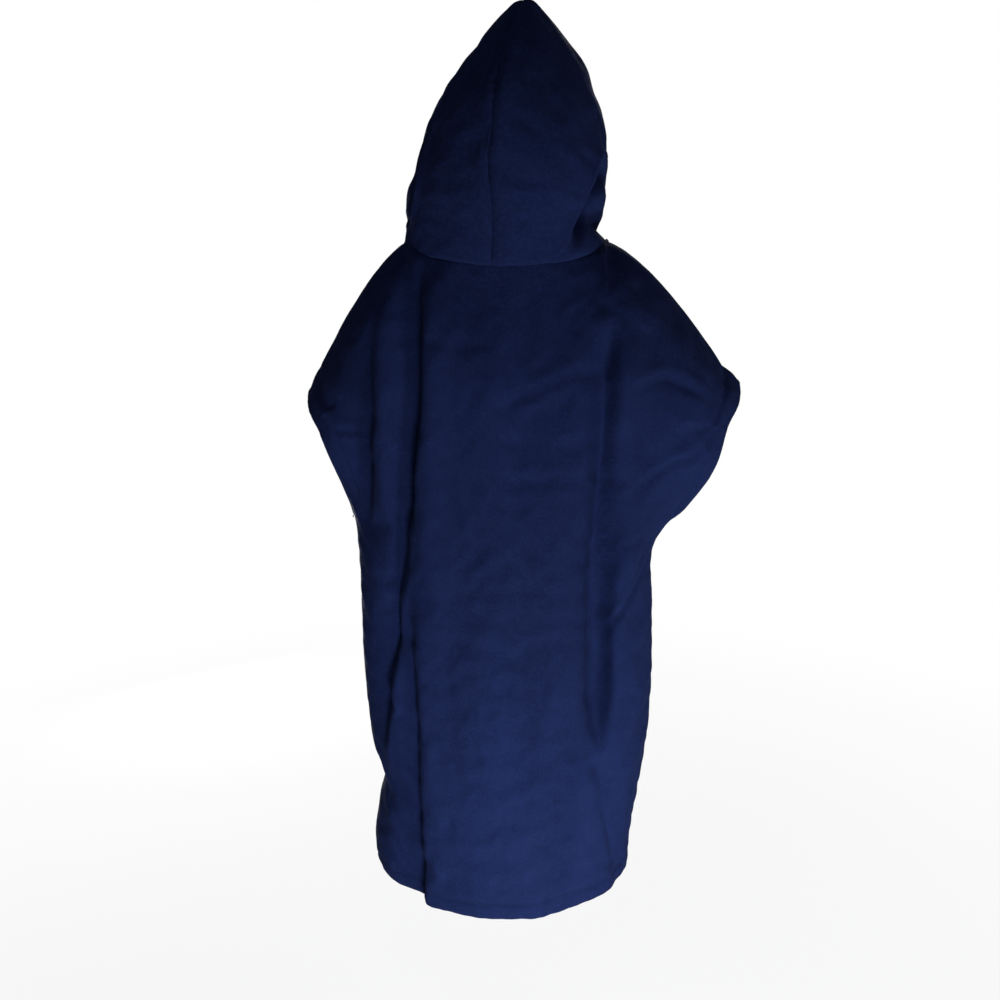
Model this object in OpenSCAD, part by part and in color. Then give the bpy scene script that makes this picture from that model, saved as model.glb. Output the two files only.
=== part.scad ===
// Hooded fleece poncho, shaped as it hangs when worn.
// The wearer faces -Y, the wearer's left is +X and +Z is up.
// The origin is in the middle of the neck, level with where the shoulder seams rest on the shoulders.

/* [Body] */
// Height from the shoulders down to the hem
drop = 1140; // [900:10:1250]
// Half width at the side seams below the underarm
body_half = 252; // [225:1:275]
// Half width at the hem
hem_half = 222; // [215:1:260]
// How much higher the hem is at the side seams than in the middle
hem_lift = 28; // [0:2:40]
// How far the back stands behind the neck's middle at the shoulder blades
back_depth = 142; // [120:2:170]
// How far the front stands ahead of the neck's middle at the chest
front_depth = 140; // [120:2:170]
// How much further out both panels are at the hem than higher up
hem_flare = 24; // [0:2:50]

/* [Sleeves] */
// Reach of the left cuff's top corner from the middle
left_reach = 330; // [300:5:400]
// Reach of the right cuff's top corner from the middle
right_reach = 386; // [300:5:400]
// Depth of both top corners below the shoulders
cuff_drop = 262; // [180:2:300]
// Distance from the middle to the left underarm corner
left_underarm = 262; // [255:1:290]
// Distance from the middle to the right underarm corner
right_underarm = 306; // [255:1:320]
// Half the gap between a cuff's front and back edges
cuff_open = 56; // [40:2:70]

/* [Neck] */
// Half width of the neck seam
neck_half = 157; // [145:1:165]
// How far the neck seam reaches behind the middle
neck_back = 100; // [92:1:110]
// How far the neck seam reaches ahead of the middle
neck_front = 112; // [100:1:120]
// Depth of the neck seam at the sides of the neck
neck_side_drop = 15; // [10:1:20]
// Depth of the neck seam at the nape
neck_back_drop = 44; // [36:1:50]
// Depth of the neck seam at the throat
neck_front_drop = 100; // [80:2:120]

/* [Hood] */
// Distance from the throat to the crown's peak
crown_reach = 452; // [430:2:470]
// Distance from the throat to the top of the face opening
brow_reach = 395; // [370:5:410]
// Half width of the hood over the head
hood_half = 152; // [145:1:160]
// Half width of the face opening
face_half = 128; // [110:2:140]
// How far the head has turned to the wearer's right, in degrees
head_turn = 14; // [0:1:18]
// How far the crown leans to the wearer's right
crown_lean = 28; // [0:1:36]

/* [Cloth] */
// Thickness of the fleece
cloth_t = 4; // [3:0.5:5]
// Depth of the deepest hanging fold
fold_depth = 26; // [0:1:34]
// Width of the turned hems
hem_w = 26; // [18:1:32]

/* [Trim] */
// Width of the hanger loop between its sewn ends
loop_w = 44; // [36:1:56]
// Height of the hanger loop
loop_h = 46; // [36:1:60]
// Width of the hanger loop's tape
loop_tape = 7; // [5:0.5:9]
// Width of the care label
label_w = 34; // [28:1:40]
// Height of the care label
label_h = 58; // [40:1:70]

/* [Hidden] */

NAVY = [0.08, 0.11, 0.27];
NAVY_INSIDE = [0.07, 0.09, 0.22];
THREAD = [0.16, 0.21, 0.42];
TAPE = [0.05, 0.07, 0.17];
LABEL = [0.86, 0.86, 0.84];

BACK = 1;
FRONT = -1;
LEFT = 1;
RIGHT = -1;
OUTLINE_GAP = 0.6;         // half the gap left at each seam between two panels
EDGE_BEVEL = 0.1;          // how much that gap widens per millimetre of depth into the cloth
LAYER_GAP = 0.7;           // gap between cloth layers that lie on each other
THREAD_H = 1;              // how far a row of stitches stands out
THREAD_W = 3;              // width of a row of stitches
THREAD_UP = 0.25;          // gap between a row of stitches and the cloth
SEAM_IN = 9;               // depth of an overlocked seam allowance
TAPE_T = 1.4;              // thickness of a tape
TAPE_IN = 2.4;             // gap between a shoulder tape and the panels
LOOP_IN = 8.5;             // how far the hanger loop lies inside the neck seam
LABEL_IN = 5;              // how far the care label lies inside the overlocked seam and the cloth
NECK_SHARE = 0.46;         // share of a panel's half width that the neck seam takes
UNDERARM_ROW = 0.41;       // share of the drop where the underarm corner lies
TUCK_ROWS = 0.16;          // share of the drop over which the neck's curve fades out
SHOULDER_ROWS = 0.10;      // share of the drop over which the cloth rounds the shoulder
THROAT_R = 30;             // radius of the short front edge under the chin
CROWN_AT = 0.8;            // share of the way from neck seam to face edge where the peak is
FACE_TILT = 91.5;          // angle of the face opening's plane
LABEL_ROW = 0.72;          // share of the drop where the care label's middle is
NECK_DIP = 1.5;            // how late the neck seam dips towards the nape and the throat
SHOULDER_DIP = 1.45;       // how late the shoulder seam dips towards the cuff
SLEEVE_BEND = 1.1;         // how the cuff's edge bends towards the underarm
UNDERARM_FADE = 0.035;     // share of the drop over which the underarm's corner fades out
HIP_ROW = 0.6;             // share of the drop below which the skirt narrows to the hem
LIFT_ROW = 0.8;            // share of the drop below which the sides of the hem rise
LIFT_BEND = 6;             // how near the side seams the hem rises
EDGE_SHARPNESS = 2.6;      // how near the side edge a panel turns inward
SLEEVE_DEPTH_BEND = 0.55;  // how much fuller the skirt's edges are than the sleeves'
FOLD_FADE = 0.12;          // share of the drop over which a fold grows
FOLD_EDGE = 8;             // how near the side edge the folds fade out
BROW_BEND = 1.6;           // how late the centre seam drops from the peak to the brow
NAPE_BEND = 1.25;          // how the centre seam rises from the nape to the peak
HOOD_BULGE = 4;            // how much the hood widens just above the neck seam
FACE_LENGTH = 400;         // length of the centre seam, for widths measured along it
TURN_RISE = 180;           // height over which the head's turn comes in
CUFF_SIDE_V = 0.02;        // share of the drop left clear between a cuff hem and the underarm
NECK_STEPS = 20;           // columns of a panel across the neck seam
OUTER_STEPS = 9;           // columns of a panel from the neck to the cuff or side seam
CUFF_STEP = 6;             // the column where a cuff's hem begins

// Each fold: place across the panel, width, depth as a share of fold_depth, first row, last row, drift
BACK_FOLDS = [
    [0.55, 0.060, 1.00, 0.02, 1.10, 0.10],
    [0.86, 0.050, 0.60, 0.12, 0.62, 0.02],
    [-0.66, 0.060, 0.70, 0.22, 0.75, -0.05],
    [-0.10, 0.090, 0.25, 0.02, 0.45, 0.00],
    [-0.40, 0.100, 0.35, 0.60, 1.10, 0.06],
];
FRONT_FOLDS = [
    [0.34, 0.080, 0.80, 0.04, 1.10, 0.10],
    [-0.38, 0.080, 0.70, 0.04, 1.10, -0.08],
    [0.74, 0.060, 0.60, 0.20, 0.80, 0.00],
    [-0.72, 0.060, 0.60, 0.25, 1.10, 0.00],
    [0.00, 0.110, 0.35, 0.35, 1.10, 0.00],
];

function mix(a, b, t) = a + (b - a) * t;
function ease(t) = let (c = min(1, max(0, t))) c * c * (3 - 2 * c);
function unit(v) = v / norm(v);
function side_of(t) = t < 0 ? RIGHT : LEFT;
function steps(a, b, n) = [for (i = [0:n]) mix(a, b, i / n)];

// Neck seam: angle 0 is the nape and 180 the throat.
function neck_pt(angle) =
    let (c = cos(angle), low = c > 0 ? neck_back_drop : neck_front_drop)
    [neck_half * sin(angle),
     c * (c > 0 ? neck_back : neck_front),
     -mix(neck_side_drop, low, pow(abs(c), NECK_DIP))];

// Top edge of a panel: half of the neck seam, then the shoulder seam out to the cuff.
function top_pt(face, u) =
    let (angle = 90 * u / NECK_SHARE,
         q = (abs(u) - NECK_SHARE) / (1 - NECK_SHARE),
         reach = u > 0 ? left_reach : right_reach)
    q <= 0
    ? neck_pt(face == BACK ? angle : 180 - angle)
    : [side_of(u) * mix(neck_half, reach, q), 0, -mix(neck_side_drop, cuff_drop, pow(q, SHOULDER_DIP))];

// Half width of the row at v, which is the outline of the sleeve and then of the skirt.
function row_half(hand, v) =
    let (reach = hand == LEFT ? left_reach : right_reach,
         corner = hand == LEFT ? left_underarm : right_underarm)
    v < UNDERARM_ROW
    ? mix(reach, corner, pow(v / UNDERARM_ROW, SLEEVE_BEND))
    : mix(body_half, hem_half, ease((v - HIP_ROW) / (1 - HIP_ROW)))
      + (corner - body_half) * exp(-(v - UNDERARM_ROW) / UNDERARM_FADE);

function row_lift(v) = pow(max(0, 1 - v / UNDERARM_ROW), 1.3);
function side_lift(u, v) = hem_lift * pow(abs(u), LIFT_BEND) * ease((v - LIFT_ROW) / (1 - LIFT_ROW));
function cuff_gap(v) = v < UNDERARM_ROW ? cuff_open * sin(180 * v / UNDERARM_ROW) : 0;
function shoulder_round(v) = v < SHOULDER_ROWS ? sqrt(1 - pow(1 - v / SHOULDER_ROWS, 2)) : 1;

function fold_at(face, u, v) = fold_depth * (1 - pow(abs(u), FOLD_EDGE)) * sum([
    for (f = face == BACK ? BACK_FOLDS : FRONT_FOLDS)
        f[2] * exp(-pow((u - f[0] - f[5] * v) / f[1], 2))
        * ease((v - f[3]) / FOLD_FADE) * (1 - ease((v - f[4] + 0.1) / 0.1))
]);
function sum(list, i = 0) = i < len(list) ? list[i] + sum(list, i + 1) : 0;

// Outer surface of a body panel: u runs from the right edge to the left, v from the top edge to the hem.
function body_pt(face, u, v) =
    let (top = top_pt(face, u),
         deep = face == BACK ? back_depth : front_depth,
         start = face == BACK ? neck_back : neck_front,
         middle = mix(start, deep, ease(v / 0.2)) + hem_flare * ease((v - 0.35) / 0.65),
         across = pow(1 - pow(abs(u), EDGE_SHARPNESS), mix(1, SLEEVE_DEPTH_BEND, ease((v - 0.28) / 0.2))),
         y_full = mix(cuff_gap(v), middle, across) - fold_at(face, u, v),
         y_top = abs(top[1]))
    [mix(top[0], u * row_half(side_of(u), v), ease(v / TUCK_ROWS)),
     face * max(OUTLINE_GAP, mix(y_top, y_full, shoulder_round(v))),
     top[2] * row_lift(v) - drop * v + side_lift(u, v)];

// Centre seam and width of the hood, as p runs from the neck seam to the face edge.
function seam_reach(p, nape_reach) = p < CROWN_AT
    ? mix(nape_reach, crown_reach, pow(sin(90 * p / CROWN_AT), NAPE_BEND))
    : mix(crown_reach, brow_reach, pow((p - CROWN_AT) / (1 - CROWN_AT), BROW_BEND));
function hoop_half(p) = p < 0.5
    ? neck_half + HOOD_BULGE * sin(180 * p / 0.5) + (hood_half - neck_half) * p / 0.5
    : mix(hood_half, face_half, ease((p - 0.5) / 0.6));

// One hoop of the hood, in a plane that turns about the throat. a is 0 at the centre seam.
function hoop_pt(a, p) =
    let (nape = [neck_back + neck_front, neck_front_drop - neck_back_drop],
         long = seam_reach(p, norm(nape)),
         turn = 180 * a,
         share = pow((1 - cos(turn)) / 2, mix(1, 0.8, ease(p / 0.4))),
         tilt = mix(mix(atan2(nape[1], nape[0]), FACE_TILT, p), FACE_TILT, pow(share, 4)),
         r = mix(long, THROAT_R * p, share))
    [hoop_half(p) * sin(turn), r * cos(tilt) - neck_front, r * sin(tilt) - neck_front_drop];

// Outer surface of the hood: a runs from the throat (-1) round the nape (0) to the throat (1).
function hood_pt(a, p) =
    let (neck = neck_pt(180 * a),
         q = hoop_pt(a, p) + (neck - hoop_pt(a, 0)) * (1 - ease(p)) + [0, 0, 2 * LAYER_GAP],
         up = q[2] - neck[2],
         turn = -head_turn * ease(up / TURN_RISE),
         lean = crown_lean * pow(max(0, up) / crown_reach, 1.2))
    [q[0] * cos(turn) - q[1] * sin(turn) - lean, q[0] * sin(turn) + q[1] * cos(turn), q[2]];

// A point of surface f at (s, t), moved out along the surface's normal by the given distance.
function off_pt(f, s, t, hand, out) =
    let (d = 0.002,
         ds = f(s + d <= 1 ? s + d : s, t) - f(s + d <= 1 ? s : s - d, t),
         dt = f(s, t + d <= 1 ? t + d : t) - f(s, t + d <= 1 ? t : t - d))
    f(s, t) + hand * out * unit(cross(ds, dt));

// Closed solid between two grids of points of the same size, top over bottom.
module slab(top, bottom) {
    n = len(top);
    m = len(top[0]);
    function at(i, j) = i * m + j;
    low = n * m;
    skin = [for (i = [0:n - 2], j = [0:m - 2]) each [
        [at(i, j), at(i + 1, j + 1), at(i, j + 1)],
        [at(i, j), at(i + 1, j), at(i + 1, j + 1)],
        [low + at(i, j), low + at(i, j + 1), low + at(i + 1, j + 1)],
        [low + at(i, j), low + at(i + 1, j + 1), low + at(i + 1, j)]
    ]];
    rim = concat(
        [for (j = [0:m - 1]) at(0, j)], [for (i = [1:n - 1]) at(i, m - 1)],
        [for (j = [m - 2:-1:0]) at(n - 1, j)], [for (i = [n - 2:-1:1]) at(i, 0)]);
    wall = [for (k = [0:len(rim) - 1]) let (a = rim[k], b = rim[(k + 1) % len(rim)]) each [
        [a, b, low + a], [low + a, b, low + b]
    ]];
    polyhedron(concat([for (r = top) each r], [for (r = bottom) each r]), concat(skin, wall));
}

// One layer of cloth on a body panel, from `outer` to `inner` along the panel's normal.
module body_layer(face, us, vs, outer, inner, f = function (face, u, v) body_pt(face, u, v)) {
    surface = function (u, v) f(face, u, v);
    function kept(q, out) = [q[0], face * max(OUTLINE_GAP - EDGE_BEVEL * out, face * q[1]), q[2]];
    function grid(out) = [for (v = vs) [for (u = face == BACK ? us : reversed(us))
        kept(off_pt(surface, u, v, face, out), out)]];
    slab(grid(outer), grid(inner));
}
function reversed(list) = [for (i = [len(list) - 1:-1:0]) list[i]];

// One layer of cloth on one hood panel.
module hood_layer(hand, as, ps, outer, inner) {
    f = function (a, p) hood_pt(a, p);
    function grid(out) = [for (p = ps) [for (a = hand == LEFT ? reversed(as) : as)
        off_pt(f, hand * a, p, -1, out)]];
    slab(grid(outer), grid(inner));
}

UNDER = -cloth_t - LAYER_GAP;        // outer side of a layer that lies inside the panel
HEM_ROW = 1 - hem_w / drop;          // upper edge of the bottom hem
FACE_ROW = 1 - hem_w / FACE_LENGTH;  // rear edge of the hood's face hem
NECK_STITCH = [0.12, 0.28];          // place of the stitches in the first row of facets below the neck
SLEEVE_ROWS = [for (i = [1:10]) UNDERARM_ROW * pow(i / 10, 1.4)];
NECK_US = steps(0, NECK_SHARE, NECK_STEPS / 2);
OUTER_US = [for (i = [1:OUTER_STEPS]) mix(NECK_SHARE, 1, sin(90 * i / OUTER_STEPS))];
CUFF_US = [for (i = [CUFF_STEP:OUTER_STEPS]) OUTER_US[i - 1]];
HALF_US = concat(NECK_US, OUTER_US);
BODY_US = concat([for (u = reversed(HALF_US)) -u], [for (u = HALF_US) if (u > 0) u]);
BODY_VS = concat([0], SLEEVE_ROWS, [for (i = [1:14]) mix(UNDERARM_ROW, HEM_ROW, i / 14)], [1]);
HOOD_AS = [for (i = [0:NECK_STEPS]) max(0.004, min(0.996, i / NECK_STEPS))];
HOOD_PS = concat(steps(0, FACE_ROW, 18), [1]);

function within(list, low, high) = [for (x = list) if (x >= low && x <= high) x];

module body_panel(face) color(NAVY) body_layer(face, BODY_US, BODY_VS, 0, -cloth_t);
module back_panel() body_panel(BACK);
module front_panel() body_panel(FRONT);

module bottom_hem(face) color(NAVY_INSIDE)
    body_layer(face, within(BODY_US, -0.98, 0.98), [HEM_ROW, 0.999], UNDER, UNDER - cloth_t * 0.8);
module back_hem() bottom_hem(BACK);
module front_hem() bottom_hem(FRONT);

module cuff_strip(face, hand, us, rows, outer, inner)
    body_layer(face, hand == LEFT ? us : [for (u = reversed(us)) -u], rows, outer, inner);
module cuff_hem(hand) color(NAVY_INSIDE) for (face = [BACK, FRONT])
    cuff_strip(face, hand, CUFF_US, within(SLEEVE_ROWS, 0.03, UNDERARM_ROW - CUFF_SIDE_V),
               UNDER, UNDER - cloth_t * 0.8);
module left_cuff_hem() cuff_hem(LEFT);
module right_cuff_hem() cuff_hem(RIGHT);

module bottom_topstitch(face) color(THREAD)
    body_layer(face, within(BODY_US, -0.98, 0.98), [HEM_ROW, HEM_ROW + THREAD_W / drop],
               THREAD_H + THREAD_UP, THREAD_UP);
module back_hem_topstitch() bottom_topstitch(BACK);
module front_hem_topstitch() bottom_topstitch(FRONT);

module cuff_topstitch(hand) color(THREAD) for (face = [BACK, FRONT])
    cuff_strip(face, hand, [CUFF_US[0], CUFF_US[0] + THREAD_W / left_reach],
               within(SLEEVE_ROWS, 0.01, UNDERARM_ROW - CUFF_SIDE_V), THREAD_H + 3 * THREAD_UP, 3 * THREAD_UP);
module left_cuff_topstitch() cuff_topstitch(LEFT);
module right_cuff_topstitch() cuff_topstitch(RIGHT);

// Surface of a panel's first row of facets: t runs from the top edge to the next row.
function first_facets(face, u, t) = mix(body_pt(face, u, 0), body_pt(face, u, SLEEVE_ROWS[0]), t);
module neck_topstitch() color(THREAD) for (face = [BACK, FRONT])
    body_layer(face, within(BODY_US, -NECK_SHARE * 0.98, NECK_SHARE * 0.98), NECK_STITCH,
               THREAD_H + 3 * THREAD_UP, 3 * THREAD_UP, function (face, u, t) first_facets(face, u, t));

// Overlocked allowance that stands inward along a side seam.
module side_seam(hand) {
    function row(v, deep) = [for (y = [-3, 3])
        [hand * (row_half(hand, v) - deep), y * hand, side_lift(1, v) - drop * v]];
    rows = steps(UNDERARM_ROW + 0.01, HEM_ROW - 0.004, 24);
    color(NAVY_INSIDE) slab(
        [for (v = reversed(rows)) row(v, cloth_t + 2)],
        [for (v = reversed(rows)) row(v, cloth_t + 2 + SEAM_IN)]);
}
module left_side_seam() side_seam(LEFT);
module right_side_seam() side_seam(RIGHT);

// Tape under the shoulder seam, from the neck to the cuff hem.
module shoulder_tape(hand) {
    function along(u) = top_pt(BACK, hand * u);
    function normal(u) = let (d = along(u + 0.002) - along(u)) unit([-d[2] * hand, 0, d[0] * hand]);
    function row(u, out) = [for (y = [-6, 6]) along(u) + out * normal(u) + [0, -hand * y, 0]];
    us = concat([NECK_SHARE + 0.02], within(OUTER_US, 0, CUFF_US[0] - 0.02));
    color(TAPE) slab(
        [for (u = us) row(u, UNDER - TAPE_IN)],
        [for (u = us) row(u, UNDER - TAPE_IN - TAPE_T)]);
}
module left_shoulder_tape() shoulder_tape(LEFT);
module right_shoulder_tape() shoulder_tape(RIGHT);

// Tape that covers the neck seam on the inside, a closed band.
module neck_tape() {
    turns = 2 * NECK_STEPS;
    function ring(inset, z) = [for (i = [0:turns - 1])
        let (q = neck_pt(360 * i / turns), k = 1 - inset / norm([q[0], q[1]]))
        [q[0] * k, q[1] * k, q[2] + z]];
    deep = cloth_t + LAYER_GAP;
    rings = [ring(deep, -13), ring(deep, -1), ring(deep + TAPE_T, -1), ring(deep + TAPE_T, -13)];
    faces = [for (r = [0:3], i = [0:turns - 1])
        let (a = r * turns + i, b = r * turns + (i + 1) % turns,
             c = ((r + 1) % 4) * turns + i, d = ((r + 1) % 4) * turns + (i + 1) % turns)
        each [[a, b, d], [a, d, c]]];
    color(TAPE) polyhedron([for (r = rings) each r], faces);
}

// Dense block of stitches across the end of each side seam.
module underarm_bartack(hand) color(THREAD)
    translate([hand * (row_half(hand, UNDERARM_ROW) + 1.6), 0, -drop * UNDERARM_ROW - 6])
        cube([2, 9, 4], center = true);
module left_underarm_bartack() underarm_bartack(LEFT);
module right_underarm_bartack() underarm_bartack(RIGHT);

module hood_panel(hand) color(NAVY) hood_layer(hand, HOOD_AS, HOOD_PS, 0, -cloth_t);
module hood_left_panel() hood_panel(LEFT);
module hood_right_panel() hood_panel(RIGHT);

module hood_face_hem() color(NAVY_INSIDE) for (hand = [LEFT, RIGHT])
    hood_layer(hand, within(HOOD_AS, 0.04, 0.96), [FACE_ROW, 0.999], UNDER, UNDER - cloth_t * 0.8);
module hood_face_topstitch() color(THREAD) for (hand = [LEFT, RIGHT])
    hood_layer(hand, within(HOOD_AS, 0.001, 0.96), [FACE_ROW, FACE_ROW + THREAD_W / FACE_LENGTH],
               THREAD_H + THREAD_UP, THREAD_UP);

// Overlocked allowance that stands inward along the hood's centre seam.
module hood_centre_seam() {
    function ridge(p, deep) =
        let (q = hood_pt(0, p),
             along = hood_pt(0, p + 0.005) - hood_pt(0, p - 0.005),
             inward = unit(cross([1, 0, 0], along)))
        [for (x = [-2, 2]) q + deep * inward + [x, 0, 0]];
    ps = steps(0.04, FACE_ROW - 0.02, 24);
    color(NAVY_INSIDE) slab(
        [for (p = reversed(ps)) ridge(p, cloth_t + 6)],
        [for (p = reversed(ps)) ridge(p, cloth_t + 13)]);
}

// Flat tape loop at the nape, hanging inside from its two sewn ends.
module hanger_loop() {
    arm = loop_h - loop_w / 2;
    color(TAPE) translate([0, neck_back - LOOP_IN, -neck_back_drop - 4]) rotate([90, 0, 0])
        linear_extrude(1.6) difference() {
            union() {
                translate([-loop_w / 2, -arm]) square([loop_w, arm]);
                translate([0, -arm]) circle(d = loop_w, $fn = 48);
            }
            translate([-loop_w / 2 + loop_tape, -arm]) square([loop_w - 2 * loop_tape, arm + 1]);
            translate([0, -arm]) circle(d = loop_w - 2 * loop_tape, $fn = 48);
        }
}

// Blank label, sewn into the left side seam by one edge.
module care_label() {
    x = row_half(LEFT, LABEL_ROW) - cloth_t - SEAM_IN - LABEL_IN;
    color(LABEL) translate([x - label_w, -0.4, -drop * LABEL_ROW - label_h / 2])
        cube([label_w, 0.8, label_h]);
}

back_panel();
front_panel();
back_hem();
front_hem();
left_cuff_hem();
right_cuff_hem();
left_side_seam();
right_side_seam();
left_shoulder_tape();
right_shoulder_tape();
neck_tape();
back_hem_topstitch();
front_hem_topstitch();
left_cuff_topstitch();
right_cuff_topstitch();
neck_topstitch();
left_underarm_bartack();
right_underarm_bartack();
hood_left_panel();
hood_right_panel();
hood_face_hem();
hood_centre_seam();
hood_face_topstitch();
hanger_loop();
care_label();
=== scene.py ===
"""Looks of the hooded fleece poncho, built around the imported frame.

Metres, +Z up. The wearer faces -Y and the wearer's left is +X. The origin is in the middle of the neck.
A panel's surface runs over u, from its right edge (-1) to its left edge (1), and v, from the top edge (0)
to the hem (1). The hood's runs over a, from the throat (-1) round the nape (0) to the throat (1), and p,
from the neck seam (0) to the face edge (1). They are the surfaces of the CAD part.
"""

import math

import bpy
import numpy as np
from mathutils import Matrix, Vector


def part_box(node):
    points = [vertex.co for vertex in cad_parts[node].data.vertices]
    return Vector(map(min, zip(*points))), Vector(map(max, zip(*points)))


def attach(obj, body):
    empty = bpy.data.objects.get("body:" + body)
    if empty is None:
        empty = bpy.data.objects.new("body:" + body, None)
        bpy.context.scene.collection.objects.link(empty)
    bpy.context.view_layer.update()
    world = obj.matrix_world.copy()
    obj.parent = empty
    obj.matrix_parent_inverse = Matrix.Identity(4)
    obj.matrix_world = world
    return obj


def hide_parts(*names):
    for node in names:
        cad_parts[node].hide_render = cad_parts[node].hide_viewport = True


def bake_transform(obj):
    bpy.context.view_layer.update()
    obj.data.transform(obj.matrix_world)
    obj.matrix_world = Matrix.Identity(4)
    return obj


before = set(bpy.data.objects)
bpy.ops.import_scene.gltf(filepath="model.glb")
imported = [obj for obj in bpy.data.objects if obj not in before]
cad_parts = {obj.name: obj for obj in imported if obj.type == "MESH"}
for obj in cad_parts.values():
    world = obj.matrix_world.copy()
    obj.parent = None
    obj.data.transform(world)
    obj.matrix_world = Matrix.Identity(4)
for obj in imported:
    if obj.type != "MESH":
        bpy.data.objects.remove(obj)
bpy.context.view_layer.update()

# ---------------------------------------------------------------- sizes, as in the CAD part
BACK, FRONT, LEFT, RIGHT = 1, -1, 1, -1
DROP = 1.140
BODY_HALF, HEM_HALF, HEM_LIFT = 0.252, 0.222, 0.028
BACK_DEPTH, FRONT_DEPTH, HEM_FLARE = 0.142, 0.140, 0.024
LEFT_REACH, RIGHT_REACH, CUFF_DROP = 0.330, 0.386, 0.262
LEFT_UNDERARM, RIGHT_UNDERARM, CUFF_OPEN = 0.262, 0.306, 0.056
NECK_HALF, NECK_BACK, NECK_FRONT = 0.157, 0.100, 0.112
NECK_SIDE_DROP, NECK_BACK_DROP, NECK_FRONT_DROP = 0.015, 0.044, 0.100
CROWN_REACH, BROW_REACH, HOOD_HALF, FACE_HALF = 0.452, 0.395, 0.152, 0.128
HEAD_TURN, CROWN_LEAN = 14.0, 0.028
CLOTH_T, FOLD_DEPTH, HEM_W = 0.004, 0.026, 0.026
LOOP_W, LOOP_H, LOOP_TAPE, LOOP_T = 0.044, 0.046, 0.007, 0.0013
LABEL_W, LABEL_H = 0.034, 0.058
NECK_SHARE, UNDERARM_ROW, TUCK_ROWS, SHOULDER_ROWS = 0.46, 0.41, 0.16, 0.10
THROAT_R, CROWN_AT, FACE_TILT = 0.030, 0.8, 91.5
HEM_ROW = 1 - HEM_W / DROP
FACE_ROW = 1 - HEM_W / 0.400
CUFF_COLUMN = NECK_SHARE + (1 - NECK_SHARE) * math.sin(math.radians(60))
TAPE_T = 0.0014
SEAM_GAP = 0.0002
SIDE_RISE = 0.72 * HEM_LIFT  # the hem is a little rounder than the CAD part's
RIGHT_TIP_RISE = 0.016  # how far the outer tip of the right cuff is raised
LABEL_CLEAR = 0.0037  # from the label's hinge to the seam allowance, whose rounded edge takes up 2.3 mm of it
FLAT_ACROSS, FLAT_DOWN = 0.38, 1.16  # cloth measured across from the middle and down, for the materials
HOOD_FLAT_ACROSS, HOOD_FLAT_DOWN = 0.34, 0.42

# Each fold: place across the panel, width, depth as a share of FOLD_DEPTH, first row, last row, drift
BACK_FOLDS = [
    (0.53, 0.090, 0.45, 0.02, 0.60, 0.20),
    (0.80, 0.080, 0.35, 0.12, 0.50, 0.10),
    (-0.58, 0.090, 0.45, 0.15, 0.75, -0.10),
    (-0.06, 0.090, 0.22, 0.02, 0.40, 0.00),
    (-0.45, 0.110, 0.30, 0.60, 1.10, 0.06),
]
FRONT_FOLDS = [
    (0.34, 0.080, 0.80, 0.04, 1.10, 0.10),
    (-0.38, 0.080, 0.70, 0.04, 1.10, -0.08),
    (0.74, 0.060, 0.60, 0.20, 0.80, 0.00),
    (-0.72, 0.060, 0.60, 0.25, 1.10, 0.00),
    (0.00, 0.110, 0.35, 0.35, 1.10, 0.00),
]

# Each crease: its line as (v, x) points, first and last row, depth, width of the sharp part, width of the
# hollow on its other side, height of the lip, and the lip's side: 1 for the side nearer the middle.
BACK_CREASES = [
    ([(0.0, 0.136), (0.06, 0.140), (0.146, 0.144), (0.229, 0.149), (0.311, 0.158), (0.39, 0.165),
      (0.485, 0.177), (0.571, 0.196), (0.664, 0.210), (0.77, 0.220)],
     (0.004, 0.82), 0.0210, 0.0100, 0.028, 0.0050, 1),
    ([(0.5, 0.162), (0.6, 0.163), (0.7, 0.157), (0.85, 0.156), (1.05, 0.154)],
     (0.50, 1.3), 0.0190, 0.010, 0.036, 0.0040, 1),
    ([(0.0, 0.218), (0.1, 0.219), (0.186, 0.221), (0.271, 0.225), (0.371, 0.230), (0.45, 0.230)],
     (0.05, 0.46), 0.0140, 0.0105, 0.034, 0.0065, 1),
    ([(0.0, -0.162), (0.08, -0.161), (0.19, -0.158), (0.29, -0.161), (0.364, -0.162), (0.455, -0.160),
      (0.7, -0.158)],
     (0.10, 0.80), 0.0310, 0.0105, 0.028, 0.0100, -1),
    ([(0.7, -0.134), (0.812, -0.168), (0.964, -0.196), (1.05, -0.206)],
     (0.72, 1.3), 0.0070, 0.012, 0.034, 0.0030, 1),
    ([(0.74, -0.102), (0.88, -0.107), (1.05, -0.111)], (0.74, 1.3), 0.0060, 0.014, 0.045, 0.0025, 1),
    ([(0.45, -0.205), (0.6, -0.202), (0.8, -0.199)], (0.44, 0.85), 0.0045, 0.012, 0.030, 0.0020, -1),
]
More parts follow.
